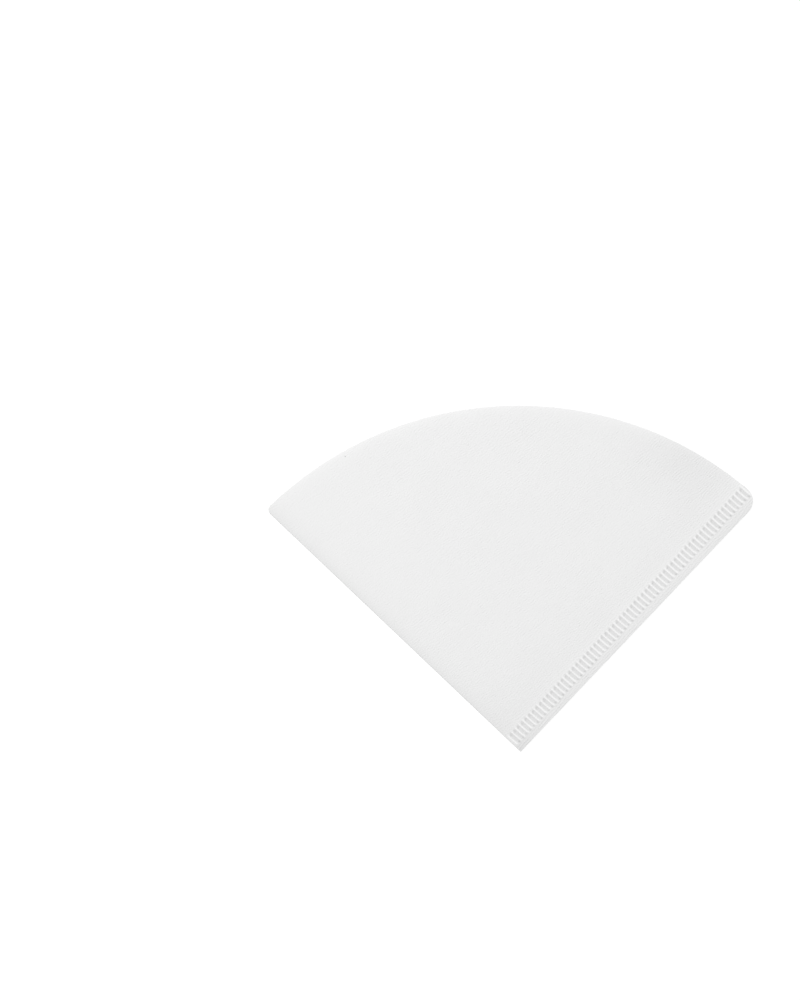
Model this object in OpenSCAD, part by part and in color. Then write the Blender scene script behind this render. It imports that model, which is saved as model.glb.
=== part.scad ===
// Flat-folded paper cone filter, lying on its flat ply, as it comes out of a stack.
//
// One sheet of creped paper is folded once, along the fold side. Its two plies lie on
// each other and are pressed together along the crimped side, at a right angle to the
// fold. The mouth is the curved side. It stays open, and the upper ply stands a little
// off the lower one there.
//
// The sheet is drawn with its tip at the origin, the crimped side along +X and the
// folded side along +Y. It is then turned until its tip points to -Y, with the origin
// under the middle of its outline.

/* [Outline] */
// Folded side, from the tip to the mouth
fold_len = 125; // [115:0.5:135]
// Crimped side, from the tip to the mouth
seam_len = 123.6; // [115:0.1:135]
// Radius of the cut along the mouth
mouth_r = 127.2; // [110:0.1:160]
// Rounding of the corner between the crimped side and the mouth
seam_corner_r = 5.6; // [3:0.1:9]
// Rounding of the corner between the folded side and the mouth
fold_corner_r = 2; // [1:0.1:5]

/* [Paper] */
// Thickness of the paper
paper_t = 0.25; // [0.2:0.01:0.35]
// Width of the crease, from the fold to where the plies part
crease_w = 0.8; // [0.5:0.1:2]
// Space between the plies at the middle of the open mouth
mouth_gap = 3; // [1.5:0.1:3.6]

/* [Crimped seam] */
// Plain margin outside the crimps
margin_w = 3; // [2:0.1:4]
// Space between the two cut edges along the margin
margin_gap = 0.06; // [0.04:0.01:0.1]
// Distance from the crimps to the seam line, where the pocket between the plies begins
seam_lap = 0.5; // [0.3:0.1:1.5]
// Length of one crimp, across the seam
crimp_len = 4.9; // [3:0.1:7]
// Width of one crimp, along the seam
crimp_w = 1.1; // [0.8:0.05:1.2]
// Depth to which one crimp is pressed in
crimp_depth = 0.28; // [0.15:0.01:0.3]
// Distance from one crimp to the next
crimp_pitch = 1.9; // [1.85:0.05:3]
// Distance from the fold to the first crimp
crimp_first = 1.9; // [1.5:0.1:4]
// Lean of the crimps towards the mouth, in degrees
crimp_lean = 4; // [0:1:8]
// Width of the ridge between two crimps
ridge_w = 0.64; // [0.4:0.02:0.64]
// Height to which a ridge stands above the plies
ridge_h = 0.15; // [0.1:0.01:0.25]
// Width of the hollow under a ridge
under_w = 0.9; // [0.6:0.05:1.1]
// Depth of the hollow under a ridge
under_depth = 0.22; // [0.1:0.01:0.22]

/* [Hidden] */
$fn = 48;

paper_color = [0.95, 0.95, 0.94];
// A cutter reaches this far past the faces it cuts
past = 1;
// Far enough to cross the whole sheet from any point of it
across = 3 * max(fold_len, seam_len, mouth_r);

// Centre of the mouth's arc, from the ends of the two straight sides
side_span = norm([seam_len, fold_len]);
centre_drop = sqrt(mouth_r ^ 2 - (side_span / 2) ^ 2);
mouth_x = seam_len / 2 - centre_drop * fold_len / side_span;
mouth_y = fold_len / 2 - centre_drop * seam_len / side_span;

// Width of the closed seam, and the middle of its crimps
seam_w = margin_w + crimp_len + seam_lap;
crimp_mid = margin_w + crimp_len / 2;
// The crimps run on to the mouth, where the last one is cut through
crimp_count = floor((seam_len - crimp_first) / crimp_pitch) + 1;

// The upper ply is part of a wide cone, with its apex where the crease meets the seam
// line. Its highest line rises at belly_rise along the middle of the pocket. Its axis
// dips by cone_dip, so that its side runs along the crease and the seam line at once.
apex_along = (crease_w - mouth_x + seam_w - mouth_y) / sqrt(2);
apex_beside = (crease_w - mouth_x - seam_w + mouth_y) / sqrt(2);
pocket_len = sqrt(mouth_r ^ 2 - apex_beside ^ 2) - apex_along;
belly_rise = atan(mouth_gap / pocket_len);
cone_dip = atan((cos(belly_rise) - cos(45)) / sin(belly_rise));
cone_half = cone_dip + belly_rise;

// The outline's extent once it is turned tip down, from its two rounded corners
seam_corner = [corner_run(mouth_x, mouth_y, seam_corner_r), seam_corner_r];
fold_corner = [fold_corner_r, corner_run(mouth_y, mouth_x, fold_corner_r)];
right_x = (seam_corner[0] - seam_corner[1]) / sqrt(2) + seam_corner_r;
left_x = (fold_corner[0] - fold_corner[1]) / sqrt(2) - fold_corner_r;
top_y = (mouth_x + mouth_y) / sqrt(2) + mouth_r;

// How far along a straight side the centre of a corner's rounding lies: it touches
// the side and the mouth's arc, whose centre lies at (along, beside) from the side
function corner_run(along, beside, r) = along + sqrt((mouth_r - r) ^ 2 - (r - beside) ^ 2);

// Radius of the arc that is width wide and depth deep
function arc_r(width, depth) = (width ^ 2 / 4 + depth ^ 2) / (2 * depth);

// One corner, cut back to its rounding. It is drawn at the end of the side along +X.
module corner_cut(along, beside, r) {
    run = corner_run(along, beside, r);
    touch_x = along + (run - along) * mouth_r / (mouth_r - r);
    touch_y = beside + (r - beside) * mouth_r / (mouth_r - r);
    difference() {
        polygon([
            [run, -past],
            [across, -past],
            [across, touch_y],
            [touch_x, touch_y],
            [run, r]
        ]);
        translate([run, r]) circle(r);
    }
}

// The cut sheet's outline once it is folded, with its fold edge at from_x
module outline(from_x = 0) {
    difference() {
        intersection() {
            translate([mouth_x, mouth_y]) circle(mouth_r, $fn = 180);
            translate([from_x, 0]) square(across);
        }
        corner_cut(mouth_x, mouth_y, seam_corner_r);
        mirror([1, -1, 0]) corner_cut(mouth_y, mouth_x, fold_corner_r);
    }
}

// The lower ply, flat on what it lies on
module lower_ply() {
    linear_extrude(paper_t) outline(paper_t);
}

// The crease's section, at a right angle to the fold: the paper turns over in a half
// round, and both plies run on until they part
module crease_section() {
    translate([paper_t, paper_t]) circle(paper_t);
    translate([paper_t, 0]) square([crease_w, 2 * paper_t]);
}

// The crease, along the whole folded side
module crease() {
    intersection() {
        linear_extrude(2 * paper_t) outline();
        translate([0, across, 0]) rotate([90, 0, 0]) linear_extrude(across) crease_section();
    }
}

// Both plies along the crimped side, closed on each other
module seam_band() {
    linear_extrude(2 * paper_t) intersection() {
        outline(paper_t);
        square([across, seam_w + paper_t]);
    }
}

// The section of the cone's wall, with the cone's axis along Y
module belly_section() {
    along_wall = across * [sin(cone_half), cos(cone_half)];
    through_wall = paper_t * [cos(cone_half), -sin(cone_half)];
    polygon([
        [0, 0],
        along_wall,
        along_wall + through_wall,
        [0, -paper_t / sin(cone_half)]
    ]);
}

// The upper ply over the pocket. It starts inside the crease and the seam band.
module upper_ply() {
    intersection() {
        translate([crease_w, seam_w, paper_t])
            rotate([0, 90 + cone_dip, 45])
                rotate_extrude($fn = 180) belly_section();
        translate([0, 0, paper_t]) linear_extrude(across) intersection() {
            outline(paper_t);
            translate([crease_w, seam_w] / 2) square(across);
        }
    }
}

// A bar across the seam with round ends. Where it crosses the plane at plane_z it is
// width wide and crimp_len long, and from there it reaches on by depth, downwards or
// upwards.
module crimp_bar(width, depth, plane_z, up = false) {
    r = arc_r(width, depth);
    run = crimp_len - width;
    axis_z = up ? plane_z + depth - r : plane_z - depth + r;
    translate([0, 0, axis_z]) {
        rotate([90, 0, 0]) cylinder(r = r, h = run, center = true);
        for (end = [-run / 2, run / 2]) translate([0, end, 0]) sphere(r);
    }
}

// Copies of one bar, a pitch apart along the seam. The first one stands at first_x.
module along_seam(count, first_x) {
    for (i = [0 : count - 1])
        translate([first_x + i * crimp_pitch, crimp_mid, 0])
            rotate([0, 0, crimp_lean]) children();
}

// The crimps, pressed into the upper face
module crimps() {
    along_seam(crimp_count, crimp_first) crimp_bar(crimp_w, crimp_depth, 2 * paper_t);
}

// The ridges between the crimps, and one on each side of their row
module ridges() {
    intersection() {
        along_seam(crimp_count, crimp_first - crimp_pitch / 2)
            crimp_bar(ridge_w, ridge_h, 2 * paper_t, up = true);
        translate([0, 0, paper_t]) linear_extrude(paper_t + ridge_h + past) outline(paper_t);
    }
}

// The hollows under the ridges, pressed into the lower face
module under_hollows() {
    along_seam(crimp_count, crimp_first - crimp_pitch / 2) crimp_bar(under_w, under_depth, 0, up = true);
}

// The space between the two cut edges, outside the crimps
module margin_slit() {
    translate([crease_w, -past, paper_t - margin_gap / 2])
        cube([across, past + margin_w - crimp_w / 2, margin_gap]);
}

// The folded sheet, with its tip at the origin
module folded_sheet() {
    difference() {
        union() {
            lower_ply();
            crease();
            seam_band();
            upper_ply();
            ridges();
        }
        crimps();
        under_hollows();
        margin_slit();
    }
}

// The folded sheet, turned tip down over the origin
module filter_paper() {
    color(paper_color)
        translate([-(left_x + right_x) / 2, -top_y / 2, 0])
            rotate([0, 0, 45]) folded_sheet();
}

filter_paper();
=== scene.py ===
import math

import bpy
import numpy as np
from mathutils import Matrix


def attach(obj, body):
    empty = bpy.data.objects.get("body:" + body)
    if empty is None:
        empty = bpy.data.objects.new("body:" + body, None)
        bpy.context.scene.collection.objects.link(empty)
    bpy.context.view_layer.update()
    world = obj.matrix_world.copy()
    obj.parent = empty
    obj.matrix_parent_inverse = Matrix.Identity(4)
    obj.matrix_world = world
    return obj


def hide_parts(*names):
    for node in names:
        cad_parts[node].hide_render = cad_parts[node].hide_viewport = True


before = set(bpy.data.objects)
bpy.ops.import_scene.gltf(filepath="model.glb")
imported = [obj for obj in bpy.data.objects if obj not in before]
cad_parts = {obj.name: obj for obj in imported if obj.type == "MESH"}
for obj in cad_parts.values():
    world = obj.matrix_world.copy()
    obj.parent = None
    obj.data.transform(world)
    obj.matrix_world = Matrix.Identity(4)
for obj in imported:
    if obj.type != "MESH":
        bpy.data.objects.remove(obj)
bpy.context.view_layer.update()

# The sheet's sizes are in millimetres, and MM takes them to Blender's metres.
MM = 0.001

# The folded sheet, drawn with its tip at the origin, the crimped side along X and the
# folded side along Y
FOLD_LEN = 125.0
SEAM_LEN = 123.6
MOUTH_R = 127.2
SEAM_CORNER_R = 5.6
FOLD_CORNER_R = 2.0
PAPER_T = 0.25
SIDES_ANGLE = math.radians(45)

# The fold: how far the paper turns back, and how it springs open beside the crease
FOLD_R = 0.34
FOLD_GAP = 0.08
CLOSED_GAP = 0.02
FOLD_SPRING = 0.42
FOLD_SPRING_RUN = 1.7
# The spring fades in over this distance from the seam
SPRING_STARTS = 10.0
# The crease stays closed up to this distance from the crimped side's edge
CREASE_CLOSED_TO = 2.0
# The last stretch of the fold, which follows the rounding of its corner
FOLD_CORNER_RUN = 10.0
FOLD_STEPS = 8

# The pocket between the plies
MOUTH_GAP = 3.0
BELLY_POWER = 1.6
SEAM_EASE = 2.0
# The upper ply swells beside the seam's end of the mouth, over these stretches
SWELL_H = 2.8
SWELL_X = (96.0, 123.0)
SWELL_Y = (11.0, 45.0)
MOUTH_CURL = 0.34
MOUTH_CURL_RUN = 2.2
# Where the pocket is this far open, the mouth curls and the upper ply waves in full
OPEN_GAP = 1.2
# Height of the upper ply's waves
PLY_WAVE_H = 0.1
# Half the height of the lower ply's waves over what it lies on
REST_WAVE_H = 0.04

# The crimped seam
MARGIN_W = 2.98
CRIMP_LEN = 4.5
CRIMP_W = 1.14
CRIMP_PITCH = 1.896
CRIMP_FIRST = 2.08
CRIMP_LEAN = math.radians(1.8)
# Their row runs a little away from the cut edge towards the mouth
CRIMP_DRIFT = 0.0075
CRIMP_BEND = 0.26
CRIMP_BEND_RUN = 2.2
CRIMP_DEPTH = 0.17
CRIMP_WALL = 0.3
CRIMP_ROUND = 0.5
# Half the stretch over which a long wall turns into an end wall
CRIMP_WALL_BLEND = 0.2
# The ends, the inner one first, are slanted and less steep than the long walls. The dies
# rub the paper grey a little past them, and that grey is partly painted shade in the crimps.
CRIMP_SLANT = (-0.55, 0.8)
CRIMP_END_WALLS = (0.54, 0.9)
CRIMP_SHORT = 0.36
RUB_AND_SHADE_PAST = 0.1
RUB_AND_SHADE_WALL = 0.24
RUB_AND_SHADE_END_WALL = 0.45
# The last crimp only brushes the sheet's rounded corner
LAST_PRESS = 0.35
# The dies leave a darker pit near the inner end (-1) and the outer one (1), partly pressed
# paper and partly painted shade: its place across and back from the end, and its strength
PITS = {-1: (-0.08, 0.8, 0.1), 1: (0.1, 0.3, 2.4)}
PIT_DEPTH = 0.02
PIT_R = (0.24, 0.3)
# The ridges between the crimps. Past their ends they fade.
RIDGE_H = 0.05
RIDGE_R = 0.28
RIDGE_BACK = 0.2
RIDGE_FADE = (-0.9, 0.3)
SEAM_LAP = 0.92
SEAM_W = MARGIN_W + CRIMP_LEN + SEAM_LAP
# The pressed crimps stand out below, so the seam lies this much above the floor
SEAM_LIFT = 0.3
SEAM_LIFT_RUN = 34.0
# The plain margin droops towards the cut edge, down to this height. The droop starts and
# ends this far past the margin's two sides.
DROOP_TO = 0.04
DROOP_PAST = (-0.8, 0.2)
MARGIN_GAP = 0.1
PRESSED_THIN = 0.3

# How much lighter or darker than plain paper it is painted: a painted highlight on the ridges,
# grey where it is pressed and in the pits that is partly painted shade, painted shade on the
# plain margin, at its cut edge and along the crease, a painted highlight at the cut edge of the
# mouth, and darker around the tip
PAINTED_RIDGE_HIGHLIGHT = 0.11
PRESSED_GREY_AND_SHADE = -0.12
PIT_GREY_AND_SHADE = -0.09
PAINTED_MARGIN_SHADE = -0.029
MARGIN_FADE = (-0.3, 0.8)
PAINTED_EDGE_SHADE = -0.024
EDGE_RUN = 1.0
PAINTED_CREASE_SHADE = -0.046
CREASE_RUN = 3.2
PAINTED_RIM_HIGHLIGHT = 0.02
RIM_RUN = 1.4
TIP_TONE = -0.052
TIP_RUN = 26.0

# How much of the crepe, of the painted crease shade and of the tip's darkening is gone where the
# dies have ironed the paper
IRONED_SHARE = 0.7
# Long straight crepe lines show in the margin, and beside the seam's end of the mouth
DRAWN_X = (86.0, 104.0)
DRAWN_Y = (38.0, 58.0)
DRAWN_MARGIN = 1.8
# Beside the seam's end of the mouth the paper is also painted a trace darker, as painted shade
PAINTED_CORNER_SHADE = -0.009
# The crepe is fainter where the paper is drawn smooth: at the cut edge of the mouth, and
# beside the fold's end of the mouth, where it is also a trace greyer
CALM_X = (8.0, 42.0)
CALM_Y = (46.0, 82.0)
CALM = 0.57
CALM_RIM = 0.4
CALM_TONE = -0.007

# Mesh steps of the seam band: the rows from the cut edge on, where the crimps' fine rows
# start, how far past the seam they end, and the rows beyond them
COLUMNS_PER_CRIMP = 8
# Columns start this many crimps before the first one, so that the lean leaves no gap
CRIMPS_BEFORE = 6
# The share of a column step that stays clear at a row's ends
ROW_CLEAR = 0.45
EDGE_ROWS = (0, 0.06, 0.2, 0.42, 0.75, 1.15)
NEAR_ROWS = (1.6, 2.05)
FINE_START = 2.4
FINE_PAST = 0.1
ROW_STEP = 0.33
PAST_ROWS = (0.6, 1.3)
# The rays of the body: where they start past the seam, their directions in degrees, with
# the first, the end and the step of the even ones, and the steps along them, the last
# ones counted back from the mouth
RAYS_PAST = 2.2
SEAM_RAYS = [0, 0.5, 1.1, 1.8, 2.6, 3.5]
BODY_RAYS = (4.6, 86.8, 1.06)
FOLD_RAYS = [87.2, 88.1, 88.75, 89.2, 89.5, 89.7, 89.85, 89.94, 90]
BODY_STEPS = 66
MOUTH_STEPS = (6.0, 4.6, 3.4, 2.4, 1.6, 1.0, 0.55, 0.2, 0.0)
# Edges sharper than this are shaded as edges
SHARP_ANGLE = math.radians(55)

# The photograph: millimetres per pixel on the paper, the tip's pixel in the frame of
# 800 by 1000, and how far the object is turned
PHOTO_W, PHOTO_H = 800, 1000
MM_PER_PX = 0.356
TIP_PX = (520.6, 751.7)
TURN = math.radians(1.47)
# The camera's height and reach are in metres, and its sensor is in millimetres.
CAMERA_HEIGHT = 1.6
CAMERA_SEES_TO = 20
SENSOR = 36.0


def mouth_centre():
    """Centre of the mouth's arc, from the ends of the two straight sides."""
    span = math.hypot(SEAM_LEN, FOLD_LEN)
    drop = math.sqrt(MOUTH_R**2 - (span / 2) ** 2)
    return np.array([
        SEAM_LEN / 2 - drop * FOLD_LEN / span,
        FOLD_LEN / 2 - drop * SEAM_LEN / span,
    ])


MOUTH = mouth_centre()


def corner_centre(along, beside, r):
    """How far along a side the centre of a corner's rounding lies."""
    return along + math.sqrt((MOUTH_R - r) ** 2 - (r - beside) ** 2)


SEAM_CORNER = np.array([corner_centre(MOUTH[0], MOUTH[1], SEAM_CORNER_R), SEAM_CORNER_R])
FOLD_CORNER = np.array([FOLD_CORNER_R, corner_centre(MOUTH[1], MOUTH[0], FOLD_CORNER_R)])


def touch(corner, r):
    """Where a corner's rounding runs into the mouth's arc."""
    return MOUTH + (corner - MOUTH) * MOUTH_R / (MOUTH_R - r)


SEAM_TOUCH = touch(SEAM_CORNER, SEAM_CORNER_R)
FOLD_TOUCH = touch(FOLD_CORNER, FOLD_CORNER_R)


def row_end(y):
    """The outline's right end in the row at y, close to the crimped side."""
    if y < SEAM_TOUCH[1]:
        return SEAM_CORNER[0] + math.sqrt(SEAM_CORNER_R**2 - (SEAM_CORNER_R - y) ** 2)
    return MOUTH[0] + math.sqrt(MOUTH_R**2 - (y - MOUTH[1]) ** 2)


def ray_hit(start, angle, centre, r):
    """How far a ray runs from start until it leaves the circle."""
    to_start = start - centre
    along = to_start[0] * math.cos(angle) + to_start[1] * math.sin(angle)
    return -along + math.sqrt(r**2 - to_start @ to_start + along**2)


def ray_end(start, angle):
    """How far a ray runs from start to the outline."""
    run = ray_hit(start, angle, MOUTH, MOUTH_R)
    if start[0] + run * math.cos(angle) < FOLD_TOUCH[0]:
        run = ray_hit(start, angle, FOLD_CORNER, FOLD_CORNER_R)
    return run


def smooth(low, high, v):
    """0 below low, 1 above high, and a smooth step between them."""
    f = np.clip((v - low) / (high - low), 0, 1)
    return f * f * (3 - 2 * f)


# Uneven crimps: how far each one may differ, as a share of its depth and its width, along
# the seam, across it, and as a share of its pits
UNEVEN_DEPTH = 0.08
UNEVEN_WIDTH = 0.04
UNEVEN_SHIFT = 0.03
UNEVEN_SLIDE = 0.08
UNEVEN_PIT = 0.3
CRIMP_COUNT = int((SEAM_LEN - CRIMP_FIRST) / CRIMP_PITCH) + 1
rng = np.random.default_rng(11)


def uneven(most):
    """One random difference for each crimp, up to most either way."""
    return rng.uniform(-most, most, CRIMP_COUNT)


crimp_depth_f = 1 + uneven(UNEVEN_DEPTH)
crimp_width_f = 1 + uneven(UNEVEN_WIDTH)
crimp_shift = uneven(UNEVEN_SHIFT)
crimp_slide = uneven(UNEVEN_SLIDE)
pit_f = {end: 1 + uneven(UNEVEN_PIT) for end in PITS}


def crimp_row(x, y):
    """Distance from the cut edge, less what the row of crimps has moved away from it."""
    return y - CRIMP_DRIFT * (x - SEAM_LEN / 2)


def crimp_bend(y):
    """How far the crimps lean towards the mouth, and bend further at their outer ends."""
    lean = (MARGIN_W + CRIMP_LEN / 2 - y) * math.tan(CRIMP_LEAN)
    start = MARGIN_W - CRIMP_BEND_RUN / 2
    return lean + CRIMP_BEND * (1 - smooth(start, start + CRIMP_BEND_RUN, y))


def crimp_print(across, along, half_w, half_l, wall, end_wall):
    """1 inside a crimp's outline and 0 outside, with a smooth wall around it."""
    qx = np.abs(across) - half_w + CRIMP_ROUND
    qy = np.abs(along) - half_l + CRIMP_ROUND
    outside = np.hypot(np.maximum(qx, 0), np.maximum(qy, 0))
    edge = outside + np.minimum(np.maximum(qx, qy), 0) - CRIMP_ROUND
    wall = wall + (end_wall - wall) * smooth(-CRIMP_WALL_BLEND, CRIMP_WALL_BLEND, qy - qx)
    return 1 - smooth(-wall, wall, edge)


def crimp_relief(x, y):
    """Height of the crimped relief at a point, how pressed it is there, and its tone: a painted
    highlight on the ridges, and grey in the crimps and their pits that is partly painted shade.
    """
    y = crimp_row(x, y)
    place = x - crimp_bend(y) - CRIMP_FIRST
    i = np.clip(np.round(place / CRIMP_PITCH), 0, CRIMP_COUNT - 1).astype(int)
    across = place - i * CRIMP_PITCH - crimp_shift[i]
    straight = MARGIN_W + CRIMP_LEN / 2 - y + crimp_slide[i]
    half_w = CRIMP_W / 2 * crimp_width_f[i]
    half_l = CRIMP_LEN / 2
    along = straight - across * np.interp(straight, (-half_l, half_l), CRIMP_SLANT)
    end_wall = np.where(along > 0, CRIMP_END_WALLS[1], CRIMP_END_WALLS[0])
    press = crimp_print(across, along, half_w, half_l - CRIMP_SHORT, CRIMP_WALL, end_wall)
    rubbed_and_shaded = crimp_print(across, along, half_w, half_l + RUB_AND_SHADE_PAST, RUB_AND_SHADE_WALL, RUB_AND_SHADE_END_WALL)
    brushed = np.where(i == CRIMP_COUNT - 1, LAST_PRESS, 1.0)
    press, rubbed_and_shaded = press * brushed, rubbed_and_shaded * brushed
    pit = np.zeros_like(x)
    for end, (side, back, strength) in PITS.items():
        off = (straight - end * (half_l - back)) / PIT_R[1]
        spot = np.exp(-(((across - side) / PIT_R[0]) ** 2 + off**2) / 2)
        pit += strength * pit_f[end][i] * brushed * spot
    window = smooth(*RIDGE_FADE, half_l - np.abs(straight + RIDGE_BACK) - RIDGE_BACK)
    ridge = window * np.exp(-(((np.abs(across) - CRIMP_PITCH / 2) / RIDGE_R) ** 2))
    relief = RIDGE_H * ridge - press * (CRIMP_DEPTH * crimp_depth_f[i] + PIT_DEPTH * pit)
    # Painted highlight on the ridges; grey in the crimps and pits, partly painted shade
    tone = PAINTED_RIDGE_HIGHLIGHT * ridge + rubbed_and_shaded * PRESSED_GREY_AND_SHADE + PIT_GREY_AND_SHADE * pit
    return relief, press, np.maximum(rubbed_and_shaded, ridge), tone


# Waves that a thin sheet keeps: a few long ones, in all directions. WAVE_SUM brings their
# sum to about -1 to 1.
WAVE_COUNT = 14
WAVE_LENGTHS = (14, 52)
WAVE_SUM = 50
wave_rng = np.random.default_rng(5)
WAVES = [
    (
        2 * math.pi / wave_rng.uniform(*WAVE_LENGTHS),
        wave_rng.uniform(0, math.pi),
        wave_rng.uniform(0, 2 * math.pi),
    )
    for _ in range(WAVE_COUNT)
]


def waviness(x, y):
    """A gentle unevenness, from about -1 to 1."""
    total = np.zeros_like(x)
    for k, way, phase in WAVES:
        total += np.sin(k * (x * math.cos(way) + y * math.sin(way)) + phase) / (k * WAVE_SUM)
    return total


def pocket_gap(x, y):
    """Space between the plies."""
    px = np.maximum(x - FOLD_R, 0)
    py = np.maximum(y - SEAM_W, 0)
    py = np.sqrt(py**2 + SEAM_EASE**2) - SEAM_EASE
    r = np.hypot(px, py)
    swing = np.arctan2(py, px) - SIDES_ANGLE
    middle = math.cos(SIDES_ANGLE)
    share = np.clip((np.cos(swing) - middle) / (1 - middle), 0, 1)
    reach = ray_end(np.array([FOLD_R, SEAM_W]), SIDES_ANGLE)
    rise = (r / reach) ** BELLY_POWER
    belly = MOUTH_GAP * rise * share
    opened = smooth(0, OPEN_GAP, belly)
    spring = FOLD_SPRING * (1 - np.exp(-px / FOLD_SPRING_RUN)) * (1 - np.exp(-py / SPRING_STARTS))
    from_mouth = MOUTH_R - np.hypot(x - MOUTH[0], y - MOUTH[1])
    curl = MOUTH_CURL * np.exp(-np.maximum(from_mouth, 0) / MOUTH_CURL_RUN) * opened
    wave = PLY_WAVE_H * waviness(x, y) * opened
    swell = SWELL_H * smooth(*SWELL_Y, y) * smooth(*SWELL_X, x)
    margin = MARGIN_GAP * (1 - smooth(0, MARGIN_W, y))
    crease = CLOSED_GAP + FOLD_GAP * smooth(CREASE_CLOSED_TO, SEAM_W, y)
    return crease + belly + spring + swell - curl + wave + margin


def surfaces(x, y):
    """Heights of the sheet's four surfaces from the lowest up, its tone with its painted shade
    and painted highlight, how ironed it is, and how much its long crepe lines show."""
    relief, press, ironed, tone = crimp_relief(x, y)
    lift = SEAM_LIFT * (1 - smooth(SEAM_W, SEAM_W + SEAM_LIFT_RUN, y))
    droop = (SEAM_LIFT - DROOP_TO) * (1 - smooth(DROOP_PAST[0], MARGIN_W + DROOP_PAST[1], y))
    rest = REST_WAVE_H * (1 + waviness(y, x)).clip(0, 2)
    low = lift - droop + relief + rest
    thin = PAPER_T * (1 - PRESSED_THIN * press)
    low_top = low + thin
    up_low = low_top + pocket_gap(x, y)
    # Painted shade along the crease where the fold rolls away, and darker around the tip
    crease_shade_and_tip_darkening = PAINTED_CREASE_SHADE * np.exp(-(x - FOLD_R) / CREASE_RUN)
    crease_shade_and_tip_darkening += TIP_TONE * np.exp(-np.hypot(x, y) / TIP_RUN)
    margin = 1 - smooth(MARGIN_W + MARGIN_FADE[0], MARGIN_W + MARGIN_FADE[1], crimp_row(x, y))
    tone += crease_shade_and_tip_darkening * (1 - IRONED_SHARE * ironed)
    # Painted shade on the drooping plain margin and at its cut edge
    tone += PAINTED_MARGIN_SHADE * margin + PAINTED_EDGE_SHADE * np.exp(-y / EDGE_RUN)
    from_mouth = MOUTH_R - np.hypot(x - MOUTH[0], y - MOUTH[1])
    rim = np.exp(-np.maximum(from_mouth, 0) / RIM_RUN)
    # Painted highlight along the cut edge of the mouth
    tone += PAINTED_RIM_HIGHLIGHT * rim
    corner = smooth(*DRAWN_X, x) * (1 - smooth(*DRAWN_Y, y))
    drawn = np.maximum(DRAWN_MARGIN * margin, corner) * (1 - ironed)
    calm = (1 - smooth(*CALM_X, x)) * smooth(*CALM_Y, y)
    # Painted shade beside the seam's end of the mouth, and a trace greyer beside the fold's end
    tone += PAINTED_CORNER_SHADE * corner + CALM_TONE * calm
    ironed = np.maximum(ironed, np.maximum(CALM * calm, CALM_RIM * rim))
    return low, low_top, up_low, up_low + thin, tone, ironed, drawn


class PlyPlan:
    """The plan mesh of one ply: its points, its triangles and its edges in order."""

    def __init__(self):
        self.points = []
        self.tris = []
        self.fold = []
        self.rim = []

    def add(self, x, y):
        self.points.append((x, y))
        return len(self.points) - 1

    def zip_rows(self, a, b):
        """Fills the strip between two rows of points, both in the order of x."""
        i = j = 0
        while i < len(a) - 1 or j < len(b) - 1:
            step_a = j == len(b) - 1 or (
                i < len(a) - 1 and self.points[a[i + 1]][0] <= self.points[b[j + 1]][0]
            )
            if step_a:
                self.tris.append((a[i], a[i + 1], b[j]))
                i += 1
            else:
                self.tris.append((a[i], b[j + 1], b[j]))
                j += 1


def band_rows():
    """Each row of the seam band: its distance from the cut edge and its column step, which
    is wider away from the crimps."""
    fine = CRIMP_PITCH / COLUMNS_PER_CRIMP
    rows = [(y, 4 * fine) for y in EDGE_ROWS]
    rows += [(y, 2 * fine) for y in NEAR_ROWS]
    run = SEAM_W + FINE_PAST - FINE_START
    count = round(run / ROW_STEP)
    rows += [(FINE_START + k * run / count, fine) for k in range(count + 1)]
    rows += [(SEAM_W + PAST_ROWS[0], 2 * fine), (SEAM_W + PAST_ROWS[1], 4 * fine)]
    return rows


def row_points(plan, y, step):
    """One row of the band, whose columns bend as the crimps do."""
    lean = crimp_bend(y)
    left, right = FOLD_R, row_end(y)
    clear = ROW_CLEAR * step
    xs = np.arange(CRIMP_FIRST - CRIMPS_BEFORE * CRIMP_PITCH, right + CRIMP_PITCH, step) + lean
    xs = xs[(xs > left + clear) & (xs < right - clear)]
    return [plan.add(x, y) for x in (left, *xs, right)]


def ray_angles():
    """Directions of the body's rays, closer together at the seam and at the fold."""
    return np.radians(SEAM_RAYS + list(np.arange(*BODY_RAYS)) + FOLD_RAYS)


def make_plan():
    """The whole ply in plan: rows along the seam, then rays from the pocket's corner."""
    plan = PlyPlan()
    rows = [row_points(plan, y, step) for y, step in band_rows()]
    apex = np.array([FOLD_R, SEAM_W + RAYS_PAST])
    rays = []
    for angle in ray_angles():
        run = ray_end(apex, angle)
        steps = np.linspace(0, run - MOUTH_STEPS[0], BODY_STEPS + 1)[1:]
        reach = np.concatenate([steps, run - np.array(MOUTH_STEPS[1:])])
        first = rays[0][0] if rays else plan.add(*apex)
        ends = apex + reach[:, None] * np.array([math.cos(angle), math.sin(angle)])
        rays.append([first] + [plan.add(*p) for p in ends])
    for a, b in zip(rows, rows[1:] + [rays[0]]):
        plan.zip_rows(a, b)
    for a, b in zip(rays, rays[1:]):
        plan.tris.append((a[0], a[1], b[1]))
        for i in range(1, len(a) - 1):
            plan.tris.append((a[i], a[i + 1], b[i + 1]))
            plan.tris.append((a[i], b[i + 1], b[i]))
    plan.fold = [row[0] for row in rows] + rays[-1]
    plan.rim = rows[0] + [row[-1] for row in rows[1:]] + [ray[-1] for ray in rays]
    return plan


def to_row_frame(points):
    """From the sheet's own axes in millimetres to the row frame in metres."""
    x, y, z = points.T
    c, s = math.cos(SIDES_ANGLE), math.sin(SIDES_ANGLE)
    turned = np.stack([c * x - s * y, s * x + c * y, z], axis=1)
    return (turned + [TIP[0], TIP[1], 0]) * MM


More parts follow.
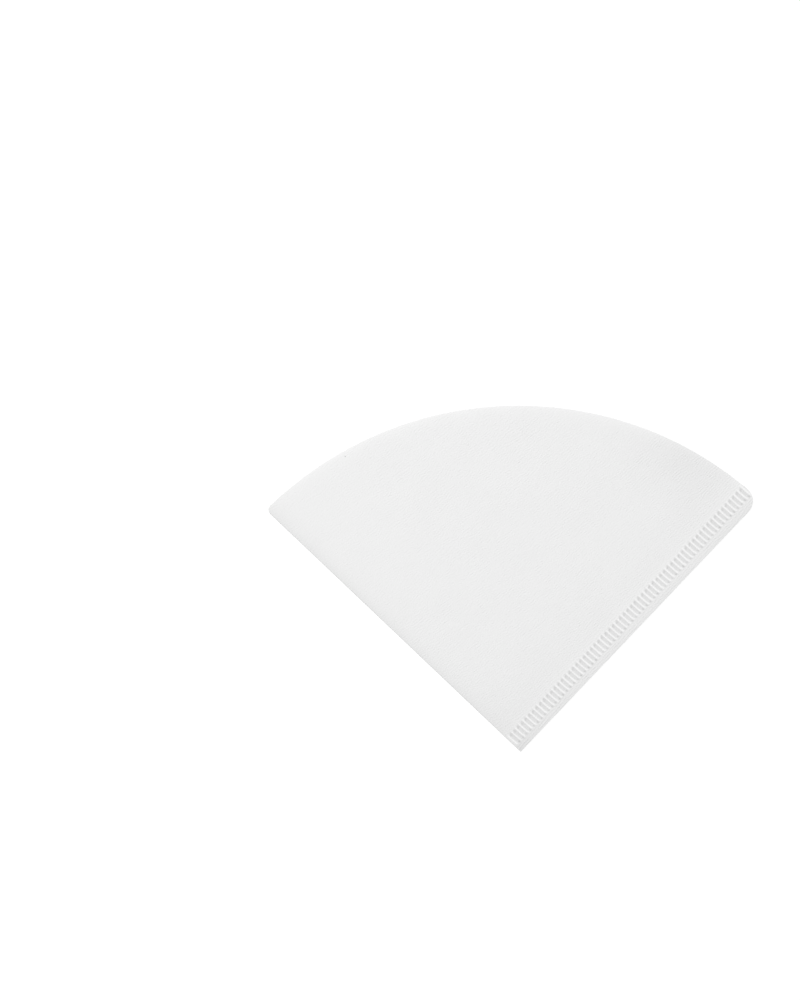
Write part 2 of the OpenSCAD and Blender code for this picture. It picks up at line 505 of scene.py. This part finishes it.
def tip_place():
    """The tip in the row frame, whose origin is under the middle of the outline."""
    c = math.cos(SIDES_ANGLE)
    right = (SEAM_CORNER[0] - SEAM_CORNER[1]) * c + SEAM_CORNER_R
    left = (FOLD_CORNER[0] - FOLD_CORNER[1]) * c - FOLD_CORNER_R
    top = (MOUTH[0] + MOUTH[1]) * c + MOUTH_R
    return np.array([-(right + left) / 2, -top / 2])


TIP = tip_place()


def fold_ring(plan, heights, outer):
    """Points of the paper's turn at the fold, one row for each step between the plies."""
    low, high = (heights[0], heights[3]) if outer else (heights[1], heights[2])
    low, high = low[plan.fold], high[plan.fold]
    y = np.array([plan.points[k][1] for k in plan.fold])
    reach = FOLD_R if outer else FOLD_R - PAPER_T
    rows = []
    last = y[-1]
    for k in range(1, FOLD_STEPS):
        turn = math.pi * (0.5 - k / FOLD_STEPS)
        x = FOLD_R - reach * math.cos(turn)
        end = FOLD_CORNER[1] + math.sqrt(FOLD_CORNER_R**2 - (FOLD_CORNER_R - x) ** 2)
        shift = (end - last) * smooth(last - FOLD_CORNER_RUN, last, y)
        z = (high + low) / 2 + (high - low) / 2 * math.sin(turn)
        rows.append(np.stack([np.full_like(y, x), y + shift, z], axis=1))
    return rows


# Numbers that the mesh keeps at each point for its material
LOOKS = ("tone", "ironed", "drawn")


def ply_faces(plan):
    """Both faces of both plies: under the lower one, on it, under the upper one, on it."""
    n = len(plan.points)
    faces = []
    for k in range(4):
        for tri in plan.tris:
            corners = tuple(k * n + p for p in tri)
            faces.append(corners if k in (1, 3) else corners[::-1])
    return faces


def turn_columns(plan, rows, outer, used):
    """Point numbers of the turn, from the upper ply to the lower one. The numbers of its
    own rows start at used."""
    n = len(plan.points)
    start, end = (3, 0) if outer else (2, 1)
    columns = [[start * n + k for k in plan.fold]]
    for row in rows:
        columns.append(list(range(used, used + len(row))))
        used += len(row)
    columns.append([end * n + k for k in plan.fold])
    return columns


def turn_faces(columns, outer):
    """The strips between the columns of the turn."""
    faces = []
    for left, right in zip(columns, columns[1:]):
        for i in range(len(left) - 1):
            quad = (left[i], left[i + 1], right[i + 1], right[i])
            faces.append(quad if outer else quad[::-1])
    return faces


def cut_faces(plan, outer, inner):
    """The cut edges: along each ply's rim, and across the turn at its two ends."""
    n = len(plan.points)
    faces = []
    for under, over in ((0, 1), (2, 3)):
        for a, b in zip(plan.rim, plan.rim[1:]):
            faces.append((under * n + a, under * n + b, over * n + b, over * n + a))
    for end in (0, -1):
        for k in range(FOLD_STEPS):
            quad = (outer[k][end], outer[k + 1][end], inner[k + 1][end], inner[k][end])
            faces.append(quad if end == 0 else quad[::-1])
    return faces


def filter_mesh():
    """One closed mesh: both plies, the fold between them, and the cut edges."""
    plan = make_plan()
    flat = np.array(plan.points)
    heights = surfaces(flat[:, 0], flat[:, 1])
    points = [np.column_stack([flat, h]) for h in heights[:4]]
    faces = ply_faces(plan)
    turns = []
    for outer in (True, False):
        rows = fold_ring(plan, heights, outer)
        turns.append(turn_columns(plan, rows, outer, sum(map(len, points))))
        points += rows
        faces += turn_faces(turns[-1], outer)
    faces += cut_faces(plan, *turns)
    points = np.concatenate(points)
    looks = {}
    # The turn of the fold carries the painted crease shade
    for name, values, in_turn in zip(LOOKS, heights[4:], (PAINTED_CREASE_SHADE, 0.0, 0.0)):
        looks[name] = np.full(len(points), in_turn)
        looks[name][:4 * len(flat)] = np.tile(values, 4)
    return to_row_frame(points), faces, looks, plan


def float_attribute(mesh, name, values):
    """Keeps one number at each point of the mesh, for its material."""
    data = mesh.attributes.new(name, "FLOAT", "POINT")
    data.data.foreach_set("value", values.astype(np.float32))


def add_filter():
    points, faces, looks, plan = filter_mesh()
    mesh = bpy.data.meshes.new("folded_filter")
    mesh.from_pydata(points.tolist(), [], faces)
    for name, values in looks.items():
        float_attribute(mesh, name, values)
    mesh.validate()
    mesh.shade_smooth()
    mesh.set_sharp_from_angle(angle=SHARP_ANGLE)
    piece = bpy.data.objects.new("folded_filter", mesh)
    bpy.context.scene.collection.objects.link(piece)
    piece.data.materials.append(paper_material())
    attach(piece, "root")
    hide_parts("filter_paper")
    return piece


class Nodes:
    """Short calls for building a material."""

    def __init__(self, name):
        self.material = bpy.data.materials.new(name)
        self.material.use_nodes = True
        self.tree = self.material.node_tree
        self.tree.nodes.clear()

    def add(self, kind, **values):
        node = self.tree.nodes.new(kind)
        for key, value in values.items():
            setattr(node, key, value)
        return node

    def link(self, start, end):
        self.tree.links.new(start, end)

    def maths(self, operation, a, b=0.0):
        node = self.add("ShaderNodeMath", operation=operation)
        for socket, value in zip(node.inputs, (a, b)):
            if isinstance(value, (int, float)):
                socket.default_value = value
            else:
                self.link(value, socket)
        return node.outputs[0]

    def noise(self, vector, stretch, detail, roughness):
        """Noise stretched by stretch, in cycles for each millimetre of the sheet."""
        mapping = self.add("ShaderNodeMapping")
        mapping.inputs["Scale"].default_value = stretch
        self.link(vector, mapping.inputs["Vector"])
        noise = self.add("ShaderNodeTexNoise")
        noise.inputs["Scale"].default_value = 1.0
        noise.inputs["Detail"].default_value = detail
        noise.inputs["Roughness"].default_value = roughness
        self.link(mapping.outputs[0], noise.inputs["Vector"])
        return noise.outputs["Fac"]

    def weighted(self, parts):
        """The sum of values, each times its share."""
        total = self.maths("MULTIPLY", *parts[0])
        for part in parts[1:]:
            total = self.maths("ADD", total, self.maths("MULTIPLY", *part))
        return total

    def map_range(self, value, start, end):
        """Takes value from the range start to the range end, and clamps it there."""
        ramp = self.add("ShaderNodeMapRange")
        ramp.inputs["From Min"].default_value = start[0]
        ramp.inputs["From Max"].default_value = start[1]
        ramp.inputs["To Min"].default_value = end[0]
        ramp.inputs["To Max"].default_value = end[1]
        self.link(value, ramp.inputs["Value"])
        return ramp.outputs[0]

    def crepe(self, vector, way, cells, cycles, straight):
        """Even waves across way, in degrees: cells and cycles for each millimetre."""
        gabor = self.add("ShaderNodeTexGabor", gabor_type="2D")
        gabor.inputs["Scale"].default_value = cells
        gabor.inputs["Frequency"].default_value = cycles / cells
        gabor.inputs["Anisotropy"].default_value = straight
        gabor.inputs["Orientation"].default_value = math.radians(way)
        self.link(vector, gabor.inputs["Vector"])
        # Levelled, so that no single line stands out
        centred = self.maths("SUBTRACT", gabor.outputs["Value"], 0.5)
        level = self.maths("TANH", self.maths("MULTIPLY", centred, CREPE_LEVEL))
        return self.maths("DIVIDE", level, CREPE_LEVEL)


# Dark fleck in the paper: its place and radius, the share of the radius that is fully
# dark, and how much light is left there
FLECK = (33.2, 117.6)
FLECK_R = 0.28
FLECK_CORE = 0.4
FLECK_LIGHT = 0.6
# The grain's height as bump, and how strongly its waves are levelled
GRAIN_H = 0.25
CREPE_LEVEL = 12.0
# Crepe waves: way in degrees, cells and cycles for each millimetre, straightness and share
CREPE = (
    (90, 0.6, 0.96, 0.9, 0.37),
    (83, 0.72, 1.08, 0.85, 0.37),
    (75, 0.66, 1.2, 0.85, 0.37),
    (10, 0.8, 0.8, 0.6, 0.148),
)
# The long drawn lines, in the same terms
DRAWN = (92, 0.3, 1.08, 1.0)
DRAWN_SHARE = 0.45
# Matted fibres: cycles for each millimetre in three directions, detail, roughness and share
FIBRES = (
    ((0.7, 2.0, 1.0), 0.0, 0.55, 0.1),
    ((3.1, 3.1, 3.1), 1.0, 0.7, 0.36),
)
# Cloudy pulp, in the same terms, and the whiteness from its darkest to its lightest
PULP = (
    ((0.09, 0.14, 0.2), 3.0, 0.55, 0.6),
    ((0.5, 1.1, 1.0), 2.0, 0.55, 0.4),
)
PULP_RANGE = (0.3, 0.7)
PULP_WHITE = (0.984, 1.002)
PAPER_COLOR = (0.87, 0.87, 0.87)
PAPER_ROUGHNESS = 0.9
PAPER_SHINE = 0.2
PAPER_SHEEN = 0.05


def sheet_place(n):
    """The place on the sheet, in its own axes and in millimetres."""
    where = n.add("ShaderNodeTexCoord")
    sheet = n.add("ShaderNodeMapping", vector_type="TEXTURE")
    sheet.inputs["Location"].default_value = (TIP[0] * MM, TIP[1] * MM, 0)
    sheet.inputs["Rotation"].default_value = (0, 0, SIDES_ANGLE)
    sheet.inputs["Scale"].default_value = (MM, MM, MM)
    n.link(where.outputs["Object"], sheet.inputs["Vector"])
    return sheet.outputs[0]


def paper_grain(n, place):
    """Crepe waves along the seam and faintly across it, over matted fibres. The dies iron
    them out, and long lines are drawn over them in places."""
    parts = [(n.crepe(place, *wave), share) for *wave, share in CREPE]
    parts += [(n.noise(place, *fibre), share) for *fibre, share in FIBRES]
    height = n.weighted(parts)
    ironed = n.add("ShaderNodeAttribute", attribute_name="ironed")
    kept = n.maths("SUBTRACT", 1.0, n.maths("MULTIPLY", ironed.outputs["Fac"], IRONED_SHARE))
    height = n.maths("MULTIPLY", height, kept)
    drawn = n.add("ShaderNodeAttribute", attribute_name="drawn")
    lines = n.maths("MULTIPLY", n.crepe(place, *DRAWN), DRAWN_SHARE)
    height = n.maths("ADD", height, n.maths("MULTIPLY", lines, drawn.outputs["Fac"]))
    bump = n.add("ShaderNodeBump")
    bump.inputs["Strength"].default_value = 1.0
    bump.inputs["Distance"].default_value = GRAIN_H * MM
    n.link(height, bump.inputs["Height"])
    return bump.outputs[0]


def paper_light(n, place):
    """How light the paper is: cloudy pulp, the tone kept at each point, greyer where pressed and
    holding painted shade and painted highlight, and a dark fleck.
    """
    cloud = n.weighted([(n.noise(place, *pulp), share) for *pulp, share in PULP])
    tone = n.add("ShaderNodeAttribute", attribute_name="tone")
    light = n.maths("ADD", n.map_range(cloud, PULP_RANGE, PULP_WHITE), tone.outputs["Fac"])
    flat = n.add("ShaderNodeVectorMath", operation="MULTIPLY")
    flat.inputs[1].default_value = (1, 1, 0)
    n.link(place, flat.inputs[0])
    fleck = n.add("ShaderNodeVectorMath", operation="DISTANCE")
    n.link(flat.outputs[0], fleck.inputs[0])
    fleck.inputs[1].default_value = (FLECK[0], FLECK[1], 0)
    reach = (FLECK_R * FLECK_CORE, FLECK_R)
    spot = n.map_range(fleck.outputs["Value"], reach, (FLECK_LIGHT, 1.0))
    return n.maths("MULTIPLY", light, spot)


def paper_material():
    n = Nodes("creped_paper")
    place = sheet_place(n)
    color = n.add("ShaderNodeVectorMath", operation="SCALE")
    color.inputs[0].default_value = PAPER_COLOR
    n.link(paper_light(n, place), color.inputs["Scale"])
    shader = n.add("ShaderNodeBsdfPrincipled")
    shader.inputs["Roughness"].default_value = PAPER_ROUGHNESS
    shader.inputs["Specular IOR Level"].default_value = PAPER_SHINE
    shader.inputs["Sheen Weight"].default_value = PAPER_SHEEN
    n.link(color.outputs[0], shader.inputs["Base Color"])
    n.link(paper_grain(n, place), shader.inputs["Normal"])
    out = n.add("ShaderNodeOutputMaterial")
    n.link(shader.outputs[0], out.inputs["Surface"])
    return n.material


# The floor: its size in metres, its grey for the light, and its glow for the camera
FLOOR_SIZE = 6.0
FLOOR_GREY = 0.2
FLOOR_GLOW = 0.88


def floor_material():
    """A pale floor that keeps the shadow and reads as white to the camera."""
    n = Nodes("pale_floor")
    rays = n.add("ShaderNodeLightPath")
    seen = n.maths("MAXIMUM", rays.outputs["Is Camera Ray"], rays.outputs["Is Glossy Ray"])
    seen = n.maths("MAXIMUM", seen, rays.outputs["Is Transmission Ray"])
    diffuse = n.add("ShaderNodeBsdfDiffuse")
    diffuse.inputs["Color"].default_value = (FLOOR_GREY, FLOOR_GREY, FLOOR_GREY, 1)
    glow = n.add("ShaderNodeEmission")
    glow.inputs["Color"].default_value = (1, 1, 1, 1)
    n.link(n.maths("MULTIPLY", seen, FLOOR_GLOW), glow.inputs["Strength"])
    both = n.add("ShaderNodeAddShader")
    n.link(diffuse.outputs[0], both.inputs[0])
    n.link(glow.outputs[0], both.inputs[1])
    out = n.add("ShaderNodeOutputMaterial")
    n.link(both.outputs[0], out.inputs["Surface"])
    return n.material


def add_floor():
    half = FLOOR_SIZE / 2
    mesh = bpy.data.meshes.new("floor")
    corners = [(-half, -half, 0), (half, -half, 0), (half, half, 0), (-half, half, 0)]
    mesh.from_pydata(corners, [], [(0, 1, 2, 3)])
    floor = bpy.data.objects.new("floor", mesh)
    bpy.context.scene.collection.objects.link(floor)
    floor.data.materials.append(floor_material())


# Light: a large soft lamp at the photograph's upper left, in an even white room. The
# lamp gives its share of the light on the paper, and the room gives the rest. Its place
# and size are in metres.
KEY_SHARE = 0.34
ROOM_SHARE = 0.6965
KEY_SIDE = math.radians(131)
KEY_AWAY = 1.77
KEY_HEIGHT = 1.92
KEY_SIZE = 1.6


def add_lights():
    world = bpy.data.worlds.new("studio")
    world.use_nodes = True
    back = world.node_tree.nodes["Background"]
    back.inputs["Color"].default_value = (1, 1, 1, 1)
    back.inputs["Strength"].default_value = ROOM_SHARE
    bpy.context.scene.world = world
    lamp = bpy.data.lights.new("key", "AREA")
    lamp.shape = "DISK"
    lamp.size = KEY_SIZE
    far = math.hypot(KEY_AWAY, KEY_HEIGHT)
    lamp.energy = KEY_SHARE * math.pi**2 * far**3 / KEY_HEIGHT
    key = bpy.data.objects.new("key", lamp)
    side = KEY_SIDE - TURN
    key.location = (KEY_AWAY * math.cos(side), KEY_AWAY * math.sin(side), KEY_HEIGHT)
    # It faces the paper: tilted from straight down, then swung round to its side
    key.rotation_euler = (0, math.atan2(KEY_AWAY, KEY_HEIGHT), side)
    bpy.context.scene.collection.objects.link(key)


def add_camera():
    """Straight above the paper, turned and placed so that the tip meets its pixel."""
    right = np.array([math.cos(TURN), -math.sin(TURN)])
    up = np.array([math.sin(TURN), math.cos(TURN)])
    across = (TIP_PX[0] - PHOTO_W / 2) * MM_PER_PX
    above = (PHOTO_H / 2 - TIP_PX[1]) * MM_PER_PX
    middle = (TIP - across * right - above * up) * MM
    data = bpy.data.cameras.new("camera")
    data.sensor_fit = "VERTICAL"
    data.sensor_height = SENSOR
    data.lens = SENSOR * CAMERA_HEIGHT / (PHOTO_H * MM_PER_PX * MM)
    data.clip_end = CAMERA_SEES_TO
    camera = bpy.data.objects.new("camera", data)
    camera.location = (middle[0], middle[1], CAMERA_HEIGHT)
    camera.rotation_euler = (0, 0, -TURN)
    bpy.context.scene.collection.objects.link(camera)
    bpy.context.scene.camera = camera


add_camera()
add_lights()
add_floor()
add_filter()
bpy.context.scene.view_settings.view_transform = "Standard"
